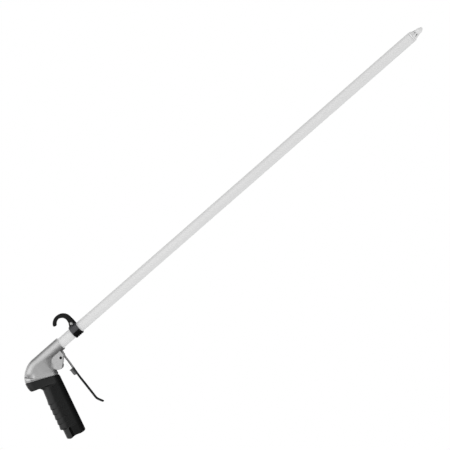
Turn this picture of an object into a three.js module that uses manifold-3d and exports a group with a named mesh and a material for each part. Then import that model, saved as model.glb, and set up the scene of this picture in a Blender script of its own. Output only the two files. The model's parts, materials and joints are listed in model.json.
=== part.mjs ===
// An extended-reach compressed-air blow gun: cast head with a pistol grip, lever trigger, long aluminium
// tube, clamp-on hanging hook and a slotted venturi nozzle.
//
// Everything is laid out in the barrel frame, in millimetres: X runs along the tube from the head's front
// rim (X = 0) to the nozzle, Z is up with the tube's axis at Z = 0, and Y is across, with the gun symmetric
// about Y = 0. The last lines move the whole gun so that its origin is the middle of the hand grip.

import * as THREE from "three";
import { mergeVertices } from "three/addons/utils/BufferGeometryUtils.js";
import Module from "manifold-3d";

const wasm = await Module();
wasm.setup();

// ---- Driving dimensions -------------------------------------------------------------------------------

const GAP = 0.3; // between pieces that touch
const ROUND = 36; // sides of a large round
const SMALL_ROUND = 18; // sides of a small one
const ARC_STEPS = 10; // steps round each end of an egg-shaped section

const TUBE = { radius: 9.525, bore: 7.875, start: -26.5, end: 833.1 };
const BARREL = { radius: 12, chamfer: 0.7, back: -52 };
const SOCKET = { radius: 9.9, depth: 45.5 };
const AIRWAY = { radius: 5, back: -53 };

// The head's rear outline runs level along the barrel, then round in one curve to the grip joint.
const THROAT = [-38, -31.4]; // the body's front below the barrel
const CROWN = { level: -58, pull: [-80, 12.1], push: [-90, -2], length: 75 };
const SWELL = { start: 0.6, height: 1.1 }; // how the rear outline stands out a little above the joint
const JOINT = { rear: [-97.4, -12.6], front: [-40.2, -38.9] };
const LIP = { height: 3, proud: 0.35 };
const THUMB_REST = { at: [-81.5, -8], across: 16.6, radii: [11.5, 5.6, 7], tilt: -0.5 };

const EARS = { half: 8.2, slot: 6.2, roof: -12.6, back: -35.5 };
const PIVOT = { x: -15.8, z: -19.5, pin: 2.3, hollow: 1, hole: 2.6, half: 7.3 };

// The handle leans back from vertical; distances down it are measured from the top of its front edge.
const GRIP = {
  lean: THREE.MathUtils.degToRad(15.8),
  top: [-39.7, -39.4],
  depth: 40,
  frontRadius: 11,
  rearRadius: 14.5,
  length: 116,
  proud: 0.7, // how far the sleeve's front stands out past that edge
};
const TEETH = { first: 33.7, last: 92.5, count: 6, height: 1.5, fall: 1.4 };
const HEEL = { start: 93.9, depth: 37 };
const HEEL_GROOVE = { from: 95, to: 116, back: 21.5, across: 14.5, radius: 3.2 };
const CORE = { half: 12.5, frontRadius: 8.5, rearRadius: 9.5, start: -6, end: 104 };
const INLET = { bore: 5.9, body: 7.8, flange: 10.2, flangeThickness: 3, length: 20, end: 110.5 };
const PASSAGE = 4.2; // radius of the air passage up the handle

const VALVE = { z: -25.8, chamber: 4.4, back: -68, seat: -53, stem: 1.6, tip: -11.2 };
const OUTLET = { x: -49, radius: 3.2 };

const LEVER = { thickness: 1.8, half: 5.9, tip: -128.2, tipHalf: 6.6, plate: 1.5, corner: 3.5 };

const RING = { start: 29.3, end: 45, upper: 12.4, lower: 11.9, bore: 9.8, waist: -1.5, edge: 0.8 };
const RIBS = { at: [33.2, 37.2, 41.2], half: 0.7, depth: 0.7 };
const HOOK = { half: 4.5, outer: [26.8, 24.2, 18.3], inner: [25.7, 24.7, 10.9] };
const LUG = { half: 6.6, top: 18.4, slit: [-1.6, -0.5] };
const CLAMP_SCREW = { x: 39.9, z: 14.1, radius: 1.6, hole: 1.9, head: 3.2, headHeight: 2.2 };
const CLAMP_NUT = { radius: 3.2, thickness: 2.4, pocket: 3 };

const NOZZLE = { collar: 833.4, cone: 836.8, tip: 858.3 };
const SLOTS = { count: 8, width: 2.6, start: 838.8, end: 846.2, turn: THREE.MathUtils.degToRad(18) };
const JET = { start: 839.2, flange: 841.6, end: 852, bore: 1.2 };

// ---- Geometry helpers ---------------------------------------------------------------------------------

// A closed three.js geometry as a manifold solid; triangles that a merge collapses are dropped.
function solid(geometry) {
  const bare = geometry.index ? geometry.toNonIndexed() : geometry.clone();
  bare.deleteAttribute("normal");
  bare.deleteAttribute("uv");
  const merged = mergeVertices(bare, 1e-4);
  const index = merged.index.array;
  const kept = [];
  for (let i = 0; i < index.length; i += 3) {
    const [a, b, c] = [index[i], index[i + 1], index[i + 2]];
    if (a !== b && b !== c && c !== a) kept.push(a, b, c);
  }
  const make = (triangles) =>
    new wasm.Manifold(
      new wasm.Mesh({
        numProp: 3,
        vertProperties: merged.attributes.position.array,
        triVerts: new Uint32Array(triangles),
      }),
    );
  const made = make(kept);
  return made.volume() > 0 ? made : make(kept.reverse());
}

// A manifold solid as a three.js geometry with flat-shaded faces.
function geometryOf(body) {
  const mesh = body.getMesh();
  const geometry = new THREE.BufferGeometry();
  geometry.setAttribute("position", new THREE.BufferAttribute(mesh.vertProperties, 3));
  geometry.setIndex(new THREE.BufferAttribute(mesh.triVerts, 1));
  const flat = geometry.toNonIndexed();
  flat.computeVertexNormals();
  return flat;
}

function union(...parts) {
  return parts.reduce((whole, part) => whole.add(part));
}

function cut(body, ...tools) {
  return tools.reduce((left, tool) => left.subtract(tool), body);
}

// A shape drawn in the XZ plane, as wide as the span from y0 to y1.
function prism(shape, y0, y1, curveSegments = 12) {
  const options = { depth: y1 - y0, bevelEnabled: false, curveSegments };
  const geometry = new THREE.ExtrudeGeometry(shape, options);
  return solid(geometry.rotateX(Math.PI / 2).translate(0, y1, 0));
}

function polygon(points) {
  return new THREE.Shape(points.map(([x, z]) => new THREE.Vector2(x, z)));
}

function block(x0, x1, y0, y1, z0, z1) {
  const geometry = new THREE.BoxGeometry(x1 - x0, y1 - y0, z1 - z0);
  return solid(geometry.translate((x0 + x1) / 2, (y0 + y1) / 2, (z0 + z1) / 2));
}

// A profile of [x, radius] points turned about the X axis, or about a parallel line at height z.
function turned(profile, segments = SMALL_ROUND, z = 0) {
  const points = profile.map(([x, radius]) => new THREE.Vector2(radius, x));
  const geometry = new THREE.LatheGeometry(points, segments);
  return solid(geometry.rotateZ(-Math.PI / 2).translate(0, 0, z));
}

// A hollow ring between two radii.
function sleeve(x0, x1, inner, outer, segments = SMALL_ROUND, z = 0) {
  const profile = [[x0, inner], [x0, outer], [x1, outer], [x1, inner], [x0, inner]];
  return turned(profile, segments, z);
}

function rod(x0, x1, radius, segments = SMALL_ROUND, z = 0) {
  return turned([[x0, 0], [x0, radius], [x1, radius], [x1, 0]], segments, z);
}

function oRing(x, major, minor, z = 0) {
  const geometry = new THREE.TorusGeometry(major, minor, 6, SMALL_ROUND);
  return solid(geometry.rotateY(Math.PI / 2).translate(x, 0, z));
}

// A straight round bar between two points.
function bar(from, to, radius, segments = SMALL_ROUND) {
  const a = new THREE.Vector3(...from);
  const b = new THREE.Vector3(...to);
  const along = b.clone().sub(a);
  const geometry = new THREE.CylinderGeometry(radius, radius, along.length(), segments);
  const turn = new THREE.Quaternion().setFromUnitVectors(new THREE.Vector3(0, 1, 0), along.normalize());
  geometry.applyQuaternion(turn);
  const middle = a.add(b).multiplyScalar(0.5);
  return solid(geometry.translate(middle.x, middle.y, middle.z));
}

// An egg-shaped section: the hull of a front and a rear circle, whose far ends are two [x, z] points.
function egg(front, rear, frontRadius, rearRadius, grow = 0) {
  const f = new THREE.Vector2(...front);
  const r = new THREE.Vector2(...rear);
  const along = r.clone().sub(f).normalize();
  const f0 = f.clone().addScaledVector(along, frontRadius);
  const r0 = r.clone().addScaledVector(along, -rearRadius);
  const turn = Math.acos((frontRadius - rearRadius) / f0.distanceTo(r0));
  const ring = [];
  const arc = (centre, radius, from, to) => {
    for (let i = 0; i <= ARC_STEPS; i++) {
      const angle = from + ((to - from) * i) / ARC_STEPS;
      const reach = (radius + grow) * Math.cos(angle);
      const across = (radius + grow) * Math.sin(angle);
      const at = centre.clone().addScaledVector(along, reach);
      ring.push(new THREE.Vector3(at.x, across, at.y));
    }
  };
  arc(r0, rearRadius, -turn, turn);
  arc(f0, frontRadius, turn, 2 * Math.PI - turn);
  return ring;
}

// A closed skin through a row of sections with the same number of points.
function loft(rings) {
  const points = [];
  const quad = (a, b, c, d) => points.push(a, b, c, a, c, d);
  const count = rings[0].length;
  for (let k = 0; k + 1 < rings.length; k++)
    for (let i = 0; i < count; i++) {
      const j = (i + 1) % count;
      quad(rings[k][i], rings[k][j], rings[k + 1][j], rings[k + 1][i]);
    }
  const cap = (ring, facing) => {
    const centre = ring.reduce((sum, p) => sum.add(p), new THREE.Vector3()).divideScalar(count);
    for (let i = 0; i < count; i++) {
      const [p, q] = [ring[i], ring[(i + 1) % count]];
      points.push(centre, ...(facing ? [p, q] : [q, p]));
    }
  };
  cap(rings[0], false);
  cap(rings[rings.length - 1], true);
  return solid(new THREE.BufferGeometry().setFromPoints(points));
}

// ---- Places along the handle --------------------------------------------------------------------------

const DOWN = [-Math.sin(GRIP.lean), -Math.cos(GRIP.lean)]; // along the handle, away from the head
const BACK = [-Math.cos(GRIP.lean), Math.sin(GRIP.lean)]; // across it, towards the palm

// The point that lies down the handle and back from its front edge.
function onHandle(down, back) {
  return [
    GRIP.top[0] + down * DOWN[0] + back * BACK[0],
    GRIP.top[1] + down * DOWN[1] + back * BACK[1],
  ];
}

// The same for a point on the handle's middle line, in 3D.
function onAxis(down) {
  const [x, z] = onHandle(down, GRIP.depth / 2);
  return [x, 0, z];
}

const HAND = onAxis(52); // where the palm closes

// ---- Head ---------------------------------------------------------------------------------------------

// Points of the rear outline, from over the ears to the top of the grip joint.
function crownPoint(t) {
  const straight = 0.28;
  if (t < straight) return mix([THROAT[0], BARREL.radius], [CROWN.level, BARREL.radius], t / straight);
  const curve = new THREE.CubicBezierCurve(
    new THREE.Vector2(CROWN.level, BARREL.radius),
    new THREE.Vector2(...CROWN.pull),
    new THREE.Vector2(...CROWN.push),
    new THREE.Vector2(...JOINT.rear),
  );
  const p = curve.getPoint((t - straight) / (1 - straight));
  const s = Math.max(0, (t - SWELL.start) / (1 - SWELL.start));
  const out = 4 * SWELL.height * s * (1 - s);
  const end = new THREE.Vector2(JOINT.rear[0] - CROWN.push[0], JOINT.rear[1] - CROWN.push[1]).normalize();
  return [p.x + end.y * out, p.y - end.x * out];
}

function mix(a, b, t) {
  return a.map((v, i) => v + (b[i] - v) * t);
}

// The head's body: thin between the ears, full width at the barrel, then fanned round to the grip joint.
function headBody() {
  const rings = [
    egg([-20, -26], [-20, 4], 8, 8),
    egg([-29, -31.6], [-29, 10], 8.1, 10.2),
    egg(THROAT, [THROAT[0], BARREL.radius - 0.05], 8.6, BARREL.radius - 0.05),
  ];
  const steps = 10;
  for (let k = 1; k < steps; k++) {
    const t = k / steps;
    rings.push(egg(mix(THROAT, JOINT.front, t), crownPoint(t), 8.6 + 1.9 * t, BARREL.radius + 1.3 * t));
  }
  const nearly = 1 - LIP.height / CROWN.length;
  const lipFront = mix(THROAT, JOINT.front, nearly);
  rings.push(egg(lipFront, crownPoint(nearly), 10.4, 13.2));
  rings.push(egg(lipFront, crownPoint(nearly), 10.4, 13.2, LIP.proud));
  rings.push(egg(JOINT.front, JOINT.rear, 10.5, 13.3, LIP.proud));
  return loft(rings);
}

function earOutline() {
  const shape = new THREE.Shape();
  shape.moveTo(-48, -6);
  shape.lineTo(-8, -6);
  shape.lineTo(-8, -18.6);
  shape.quadraticCurveTo(-8.2, -19.6, -9.4, -20.6);
  shape.lineTo(-24.4, -34);
  shape.quadraticCurveTo(-26.9, -36.2, -29.4, -34.8);
  shape.lineTo(-35.3, -31.9);
  shape.lineTo(-38.5, -26);
  shape.lineTo(-48, -24);
  shape.closePath();
  return shape;
}

function handleCore() {
  const section = (down) => {
    const middle = GRIP.depth / 2;
    const front = onHandle(down, middle - CORE.half);
    const rear = onHandle(down, middle + CORE.half);
    return egg(front, rear, CORE.frontRadius, CORE.rearRadius);
  };
  return loft([section(CORE.start), section(CORE.end)]);
}

function headCasting() {
  const rim = BARREL.radius - BARREL.chamfer;
  const barrel = turned(
    [[BARREL.back, 0], [BARREL.back, BARREL.radius], [-BARREL.chamfer, BARREL.radius], [0, rim], [0, 0]],
    ROUND,
  );
  const ears = prism(earOutline(), -EARS.half, EARS.half);
  const body = union(barrel, headBody(), ears, handleCore());
  const socket = rod(-SOCKET.depth, 1, SOCKET.radius, ROUND);
  const airway = rod(AIRWAY.back, -SOCKET.depth + 1, AIRWAY.radius);
  const slot = block(EARS.back, 2, -EARS.slot, EARS.slot, -48, EARS.roof);
  const pinHole = bar([PIVOT.x, -20, PIVOT.z], [PIVOT.x, 20, PIVOT.z], PIVOT.hole);
  const chamber = rod(VALVE.back, EARS.back + 1, VALVE.chamber, SMALL_ROUND, VALVE.z);
  const outlet = bar([OUTLET.x, 0, VALVE.z], [OUTLET.x, 0, -1], OUTLET.radius, 16);
  const passage = bar(onAxis(2), onAxis(CORE.end + 5), PASSAGE);
  const inletBore = bar(onAxis(INLET.end - INLET.length - 1), onAxis(CORE.end + 5), INLET.body + GAP);
  const rests = [-1, 1].map((side) => {
    const [rx, ry, rz] = THUMB_REST.radii;
    const dish = new THREE.SphereGeometry(1, 16, 10).scale(rx, ry, rz).rotateY(THUMB_REST.tilt);
    return solid(dish.translate(THUMB_REST.at[0], side * THUMB_REST.across, THUMB_REST.at[1]));
  });
  return cut(body, socket, airway, slot, pinHole, chamber, outlet, passage, inletBore, ...rests);
}

// ---- Grip ---------------------------------------------------------------------------------------------

// The rear edge's stations down the handle: plain, then teeth that stand out more and more and then drop
// back, then the stepped-in heel.
function gripDepths() {
  const stations = [
    [13.8, 39.2],
    [18.6, 39.2],
    [26, 39.6],
  ];
  const pitch = (TEETH.last - TEETH.first) / TEETH.count;
  for (let i = 0; i < TEETH.count; i++) {
    const start = TEETH.first + i * pitch;
    stations.push([start, GRIP.depth], [start + pitch - TEETH.fall, GRIP.depth + TEETH.height]);
  }
  stations.push([TEETH.last, GRIP.depth], [HEEL.start, HEEL.depth], [GRIP.length, HEEL.depth]);
  return stations;
}

function gripSleeve() {
  const { frontRadius, rearRadius, proud } = GRIP;
  const tang = [
    [[-39.6, -39.5], [-97.6, -13], 10.5, 13.3],
    [[-40.3, -44], [-99.5, -22], 10.6, 12.6],
    [[-41.3, -47.4], [-99.5, -28.3], 10.7, 12],
    [[-41.7, -49], [-97.3, -31.2], 10.8, 12],
    [[-42.1, -50.2], [-90, -33.6], 10.9, 13],
    [[-42.4, -51.5], [-83.8, -36.6], 10.9, 14],
  ];
  const rings = tang.map((section) => egg(...section));
  for (const [down, depth] of gripDepths())
    rings.push(egg(onHandle(down, -proud), onHandle(down, depth), frontRadius, rearRadius));
  const base = polygon([
    [-120, 0],
    [-120, -118],
    [-105.2, -134.8],
    [-103.5, -137],
    [-98.4, -140.4],
    [-95.8, -141.2],
    [-88.6, -141],
    [-84.5, -141.9],
    [-77.3, -144.9],
    [-72.1, -145.7],
    [-69.9, -144.6],
    [-68.4, -141.6],
    [-20, -141.6],
    [-20, 0],
  ]);
  const outside = loft(rings).intersect(prism(base, -30, 30));
  const middle = GRIP.depth / 2;
  const cavity = [-12, GRIP.length + 5].map((down) => {
    const front = onHandle(down, middle - CORE.half);
    const rear = onHandle(down, middle + CORE.half);
    return egg(front, rear, CORE.frontRadius, CORE.rearRadius, GAP);
  });
  const floor = bar(onAxis(CORE.end + GAP), onAxis(CORE.end + 30), 40);
  const hole = bar(onAxis(CORE.end - 5), onAxis(GRIP.length + 5), INLET.body + GAP);
  const seatDown = INLET.end - INLET.flangeThickness - GAP - 0.8;
  const counterbore = bar(onAxis(seatDown), onAxis(GRIP.length + 5), INLET.flange + GAP);
  const { from, to, back, across, radius } = HEEL_GROOVE;
  const [upper, lower] = [onHandle(from, back), onHandle(to, back)];
  const grooves = [-across, across].map((y) =>
    bar([upper[0], y, upper[1]], [lower[0], y, lower[1]], radius, 12),
  );
  return cut(outside, cut(loft(cavity), floor), hole, counterbore, ...grooves);
}

function inletBushing() {
  const bushing = union(
    bar(onAxis(INLET.end - INLET.length), onAxis(INLET.end), INLET.body),
    bar(onAxis(INLET.end - INLET.flangeThickness), onAxis(INLET.end), INLET.flange, ROUND),
  );
  return cut(bushing, bar(onAxis(INLET.end - INLET.length - 1), onAxis(INLET.end + 1), INLET.bore));
}

function inletWasher() {
  const top = INLET.end - INLET.flangeThickness - 0.8;
  const ring = bar(onAxis(top), onAxis(top + 0.6), INLET.flange - 0.3, ROUND);
  return cut(ring, bar(onAxis(top - 1), onAxis(top + 2), INLET.body + 0.2));
}

// ---- Valve --------------------------------------------------------------------------------------------

function glandNut() {
  const head = { start: EARS.back + 0.9, end: EARS.back + 3.3 };
  const body = turned(
    [[-44.5, 3.5], [-44.5, 4.1], [head.start, 4.1], [head.start, 2], [-42, 2], [-42, 3.5], [-44.5, 3.5]],
    SMALL_ROUND,
    VALVE.z,
  );
  const middle = [0, VALVE.z];
  const hexagon = bar([head.start - 0.01, ...middle], [head.end, ...middle], 5.6, 6);
  return union(body, cut(hexagon, rod(-40, -20, 2, SMALL_ROUND, VALVE.z)));
}

function valveStem() {
  const profile = [
    [-59, 0],
    [-59, 3.9],
    [-57.2, 3.9],
    [-57.2, VALVE.stem],
    [VALVE.tip - 1.2, VALVE.stem],
    [VALVE.tip - 0.3, VALVE.stem * 0.7],
    [VALVE.tip, 0],
  ];
  return turned(profile, SMALL_ROUND, VALVE.z);
}

// A coil with flat-ground ends, behind the poppet.
function returnSpring() {
  class Coil extends THREE.Curve {
    getPoint(t, target = new THREE.Vector3()) {
      const turns = 4.5;
      const angle = t * turns * 2 * Math.PI;
      const along = -67.1 + 7.3 * THREE.MathUtils.smoothstep(t, 0, 1);
      return target.set(along, 3.2 * Math.cos(angle), VALVE.z + 3.2 * Math.sin(angle));
    }
  }
  const wire = new THREE.Shape().absarc(0, 0, 0.4, 0, 2 * Math.PI);
  const options = { steps: 56, extrudePath: new Coil(), curveSegments: 3, bevelEnabled: false };
  return solid(new THREE.ExtrudeGeometry(wire, options));
}

// ---- Trigger ------------------------------------------------------------------------------------------

// The front face of the lever's web, from its top to its curled tip.
const WEB = [
  [-6.2, -13.2],
  [-8.4, -18.5],
  [-9.3, -25],
  [-9.7, -33],
  [-10.9, -45.5],
  [-12.1, -57],
  [-13.1, -68],
  [-13.8, -84],
  [-14.6, -100],
  [-15.2, -111],
  [-15.2, -114.5],
  [-14.1, -118.8],
  [-9.4, -128.2],
];

function triggerLever() {
  const face = new THREE.CatmullRomCurve3(WEB.map(([x, z]) => new THREE.Vector3(x, 0, z)));
  const steps = 30;
  const front = [];
  const rear = [];
  for (let i = 0; i <= steps; i++) {
    const p = face.getPointAt(i / steps);
    const along = face.getTangentAt(i / steps);
    front.push([p.x, p.z]);
    rear.push([p.x + along.z * LEVER.thickness, p.z - along.x * LEVER.thickness]);
  }
  const web = prism(polygon([...front, ...rear.reverse()]), -LEVER.tipHalf, LEVER.tipHalf);

  // Seen from the front, the lever widens towards a square tip with round corners.
  const { half, tip, tipHalf, corner } = LEVER;
  const plan = new THREE.Shape();
  plan.moveTo(-half, 0);
  plan.lineTo(-half, -60);
  plan.lineTo(-tipHalf, -72);
  plan.absarc(corner - tipHalf, tip + corner, corner, Math.PI, 1.5 * Math.PI, false);
  plan.absarc(tipHalf - corner, tip + corner, corner, 1.5 * Math.PI, 2 * Math.PI, false);
  plan.lineTo(tipHalf, -72);
  plan.lineTo(half, -60);
  plan.lineTo(half, 0);
  const options = { depth: 60, bevelEnabled: false, curveSegments: 6 };
  const outline = new THREE.ExtrudeGeometry(plan, options);
  outline.rotateX(Math.PI / 2).rotateZ(Math.PI / 2).translate(-40, 0, 0);
  const strip = web.intersect(solid(outline));

  const flange = new THREE.Shape();
  flange.moveTo(-7.4, -13.4);
  flange.lineTo(-14.5, -14.2);
  flange.absarc(PIVOT.x, PIVOT.z, 5.3, 1.2, Math.PI + 0.2, false);
  flange.lineTo(-19.6, -28);
  flange.lineTo(-19.4, -47.2);
  flange.lineTo(-18.5, -48.5);
  flange.lineTo(-19, -56.6);
  flange.quadraticCurveTo(-18.8, -59.4, -16, -59.8);
  flange.lineTo(-13.6, -60);
  flange.lineTo(-12, -47);
  flange.lineTo(-10.4, -33);
  flange.lineTo(-10, -25);
  flange.closePath();
  const flanges = [-1, 1].map((side) => {
    const outer = side * half;
    const inner = side * (half - LEVER.plate);
    return prism(flange, Math.min(outer, inner), Math.max(outer, inner));
  });
  const pinHole = bar([PIVOT.x, -20, PIVOT.z], [PIVOT.x, 20, PIVOT.z], PIVOT.hole);
  return cut(union(strip, ...flanges), pinHole);
}

function pivotPin() {
  const outer = bar([PIVOT.x, -PIVOT.half, PIVOT.z], [PIVOT.x, PIVOT.half, PIVOT.z], PIVOT.pin);
  return cut(outer, bar([PIVOT.x, -20, PIVOT.z], [PIVOT.x, 20, PIVOT.z], PIVOT.hollow, 16));
}

// ---- Tube and nozzle ----------------------------------------------------------------------------------

function tubeAdapter() {
  const shoulder = TUBE.start - GAP;
  return turned(
    [
      [-44.2, 4.8], [-44.2, 9.6], [shoulder, 9.6], [shoulder, 7.6], [-15.4, 7.6], [-15.4, 6.2],
      [-12.8, 6.2], [-12.8, 7.6], [-8.6, 7.6], [-8, 7], [-8, 4.8], [-44.2, 4.8],
    ],
    ROUND,
  );
}

function nozzleBase() {
  const { collar, cone } = NOZZLE;
  return turned(
    [
      [812, 4.6], [812, 7], [812.6, 7.6], [818.7, 7.6], [818.7, 6.2], [821.3, 6.2], [821.3, 7.6],
      [collar - 0.01, 7.6], [collar, 8.8], [collar + 0.5, 9.3], [cone - 0.6, 9.3], [cone - GAP, 8.9],
      [cone - GAP, 5.5], [842, 5.5], [842, 4.6], [812, 4.6],
    ],
    ROUND,
  );
}

function nozzleBody() {
  const { cone, tip } = NOZZLE;
  const shell = turned(
    [
      [cone, 5.8], [cone, 8.9], [cone + 0.5, 9], [838.6, 7.9], [841, 6.9], [843.8, 6.1], [847, 5.4],
      [850, 5.1], [853, 4.5], [855.4, 3.4], [857, 2.4], [tip, 1.9], [tip, 1.5],
      [854, 1.7], [852.6, 3.4], [848, 3.7], [842.6, 4.9], [842.3, 5.8], [cone, 5.8],
    ],
    ROUND,
  );
  const openings = [];
  for (let i = 0; i < SLOTS.count; i++) {
    const radial = new THREE.BoxGeometry(SLOTS.end - SLOTS.start, 8, SLOTS.width);
    radial.translate((SLOTS.start + SLOTS.end) / 2, -8.4, 0);
    openings.push(solid(radial.rotateX((i * 2 * Math.PI) / SLOTS.count - SLOTS.turn)));
  }
  return cut(shell, ...openings);
}

function nozzleJet() {
  return turned(
    [
      [JET.start, JET.bore], [JET.start, 4.3], [JET.flange, 4.3], [JET.flange, 2.6], [JET.end - 3, 2.2],
      [JET.end, 1.6], [JET.end, JET.bore], [JET.start, JET.bore],
    ],
    SMALL_ROUND,
  );
}

// ---- Hanging hook -------------------------------------------------------------------------------------

function hookOutline() {
  const [ox, oz, outer] = HOOK.outer;
  const [ix, iz, inner] = HOOK.inner;
  const open = THREE.MathUtils.degToRad(150);
  const shape = new THREE.Shape();
  shape.moveTo(29.5, 6);
  shape.lineTo(29.5, 9.6);
  shape.quadraticCurveTo(32.5, 12, 34, 15.2);
  shape.lineTo(35.8, 18.9);
  shape.absarc(ix, iz, inner, -0.3, open, false);
  const tip = [ix + inner * Math.cos(open), iz + inner * Math.sin(open)];
  const crown = [ox + outer * Math.cos(open - 0.03), oz + outer * Math.sin(open - 0.03)];
  shape.bezierCurveTo(tip[0] - 1.8, tip[1] - 2.6, crown[0] - 2.6, crown[1] - 2.4, crown[0], crown[1]);
  shape.absarc(ox, oz, outer, open - 0.03, 0, true);
  shape.quadraticCurveTo(45.9, 16, 45.6, 9.4);
  shape.lineTo(44.6, 6);
  shape.closePath();
  return shape;
}

function hookClamp() {
  const { start, end, upper, lower, bore, waist, edge } = RING;
  const rounded = (radius) => [
    [start, 0], [start, radius - edge], [start + edge, radius],
    [end - edge, radius], [end, radius - edge], [end, 0],
  ];
  const saddle = turned(rounded(upper), ROUND).intersect(block(0, 60, -20, 20, waist, 20));
  const { half, depth } = RIBS;
  const ribs = RIBS.at.map((x) => sleeve(x - half, x + half, lower - depth, lower + 2, ROUND));
  const band = cut(turned(rounded(lower), ROUND), ...ribs);
  const hook = prism(hookOutline(), -HOOK.half, HOOK.half, 16);
  const lugShape = polygon([
    [31.5, 7], [31.5, 10.4], [34.4, 16], [36, LUG.top], [44.4, LUG.top], [45.2, 17.4], [45.2, 7],
  ]);
  const lugs = prism(lugShape, -LUG.half, LUG.half);
  const tubeHole = rod(start - 1, end + 1, bore, ROUND);
  const slit = block(20, 50, ...LUG.slit, 8, LUG.top + 0.6);
  const release = block(20, 50, -20, LUG.slit[1], LUG.top, LUG.top + 0.6);
  const { x, z, hole } = CLAMP_SCREW;
  const screwHole = bar([x, -20, z], [x, 20, z], hole, 16);
  const pocketStart = LUG.half - CLAMP_NUT.pocket;
  const pocket = bar([x, pocketStart, z], [x, 20, z], CLAMP_NUT.radius + 0.3, 6);
  const whole = union(saddle, band, hook, lugs);
  return cut(whole, tubeHole, slit, release, screwHole, pocket);
}

function clampScrew() {
  const { x, z, radius, head, headHeight } = CLAMP_SCREW;
  const under = -LUG.half - 1.4;
  const shank = bar([x, under - 0.5, z], [x, LUG.half + 1.2, z], radius, 16);
  const cap = bar([x, under, z], [x, under - headHeight, z], head);
  const slot = block(x - 0.55, x + 0.55, under - headHeight - 1, under - headHeight + 1, z - 5, z + 5);
  return cut(union(shank, cap), slot);
}

function clampWasher() {
  const { x, z, radius } = CLAMP_SCREW;
  const disc = bar([x, -LUG.half - 1.1, z], [x, -LUG.half - 0.2, z], 3.7);
  return cut(disc, bar([x, -20, z], [x, 20, z], radius + 0.25, 16));
}

function clampNut() {
  const { x, z, radius } = CLAMP_SCREW;
  const from = LUG.half - CLAMP_NUT.pocket + 0.3;
  const hex = bar([x, from, z], [x, from + CLAMP_NUT.thickness, z], CLAMP_NUT.radius, 6);
  return cut(hex, bar([x, -20, z], [x, 20, z], radius + 0.15, 16));
}

// ---- Materials and assembly ---------------------------------------------------------------------------

function material(color, roughness, metalness) {
  return () => new THREE.MeshStandardMaterial({ color, roughness, metalness });
}

const castAlloy = material(0xb0b1b1, 0.45, 0.85);
const blackGrip = material(0x2b2d2d, 0.6, 0);
const blackPlastic = material(0x232327, 0.45, 0);
const plated = material(0xd8dad8, 0.25, 0.95);
const paleAluminium = material(0xdfdfe0, 0.4, 0.8);
const brass = material(0xc2a25a, 0.35, 0.9);
const steel = material(0xc9cbcd, 0.3, 0.95);
const rubber = material(0x1a1a1b, 0.8, 0);

const pieces = {
  head_casting: [headCasting(), castAlloy],
  grip_sleeve: [gripSleeve(), blackGrip],
  inlet_bushing: [inletBushing(), steel],
  inlet_washer: [inletWasher(), rubber],
  gland_nut: [glandNut(), brass],
  gland_washer: [sleeve(EARS.back + 0.2, EARS.back + 0.7, 4.4, 5.5, SMALL_ROUND, VALVE.z), rubber],
  stem_oring: [oRing(-43.3, 2.6, 0.75, VALVE.z), rubber],
  valve_seat: [sleeve(VALVE.seat - 2, VALVE.seat, 2.6, 4.1, SMALL_ROUND, VALVE.z), brass],
  valve_stem: [valveStem(), steel],
  poppet_seal: [sleeve(-57, VALVE.seat - 2.2, VALVE.stem + 0.15, 3.8, SMALL_ROUND, VALVE.z), rubber],
  return_spring: [returnSpring(), steel],
  trigger_lever: [triggerLever(), plated],
  trigger_pivot_pin: [pivotPin(), steel],
  tube_adapter: [tubeAdapter(), brass],
  adapter_washer: [sleeve(-45.3, -44.5, 5.4, 9.5, ROUND), rubber],
  adapter_oring: [oRing(-14.1, 6.98, 0.7), rubber],
  extension_tube: [sleeve(TUBE.start, TUBE.end, TUBE.bore, TUBE.radius, ROUND), paleAluminium],
  nozzle_base: [nozzleBase(), paleAluminium],
  nozzle_oring: [oRing(820, 6.98, 0.7), rubber],
  nozzle_body: [nozzleBody(), paleAluminium],
  nozzle_jet: [nozzleJet(), brass],
  hook_clamp: [hookClamp(), blackPlastic],
  clamp_screw: [clampScrew(), steel],
  clamp_washer: [clampWasher(), steel],
  clamp_nut: [clampNut(), steel],
};

const gun = new THREE.Group();
for (const [name, [body, finish]] of Object.entries(pieces)) {
  const mesh = new THREE.Mesh(geometryOf(body), finish());
  mesh.name = name;
  mesh.position.set(-HAND[0], 0, -HAND[2]);
  gun.add(mesh);
}

export default gun;
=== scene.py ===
"""The looks of a long-reach compressed-air blow gun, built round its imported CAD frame.

Shapes are drawn in millimetres in the barrel frame, as the CAD's are: X runs along the tube from the head's
front rim, Z is up from the tube's axis and Y is across. place() then moves them to the row frame, in metres.
"""

import json
import math

import bmesh
import bpy
from mathutils import Matrix, Vector


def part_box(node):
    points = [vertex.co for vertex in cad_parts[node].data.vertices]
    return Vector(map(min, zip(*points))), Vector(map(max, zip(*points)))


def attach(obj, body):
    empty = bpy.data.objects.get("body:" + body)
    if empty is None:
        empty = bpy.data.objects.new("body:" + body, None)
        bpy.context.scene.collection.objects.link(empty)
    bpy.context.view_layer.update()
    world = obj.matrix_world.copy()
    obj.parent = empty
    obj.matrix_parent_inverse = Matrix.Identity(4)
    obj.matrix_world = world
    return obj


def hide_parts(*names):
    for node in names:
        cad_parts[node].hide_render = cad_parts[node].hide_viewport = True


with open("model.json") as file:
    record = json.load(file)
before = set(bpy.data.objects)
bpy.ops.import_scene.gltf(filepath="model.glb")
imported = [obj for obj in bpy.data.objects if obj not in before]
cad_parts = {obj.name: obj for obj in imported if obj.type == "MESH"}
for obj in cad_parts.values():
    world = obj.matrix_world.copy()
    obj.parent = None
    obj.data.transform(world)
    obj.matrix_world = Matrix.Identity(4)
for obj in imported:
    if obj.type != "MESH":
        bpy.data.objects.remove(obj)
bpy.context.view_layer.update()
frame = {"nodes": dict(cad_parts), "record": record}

# ---- Driving dimensions, in millimetres -----------------------------------------------------------------

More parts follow.
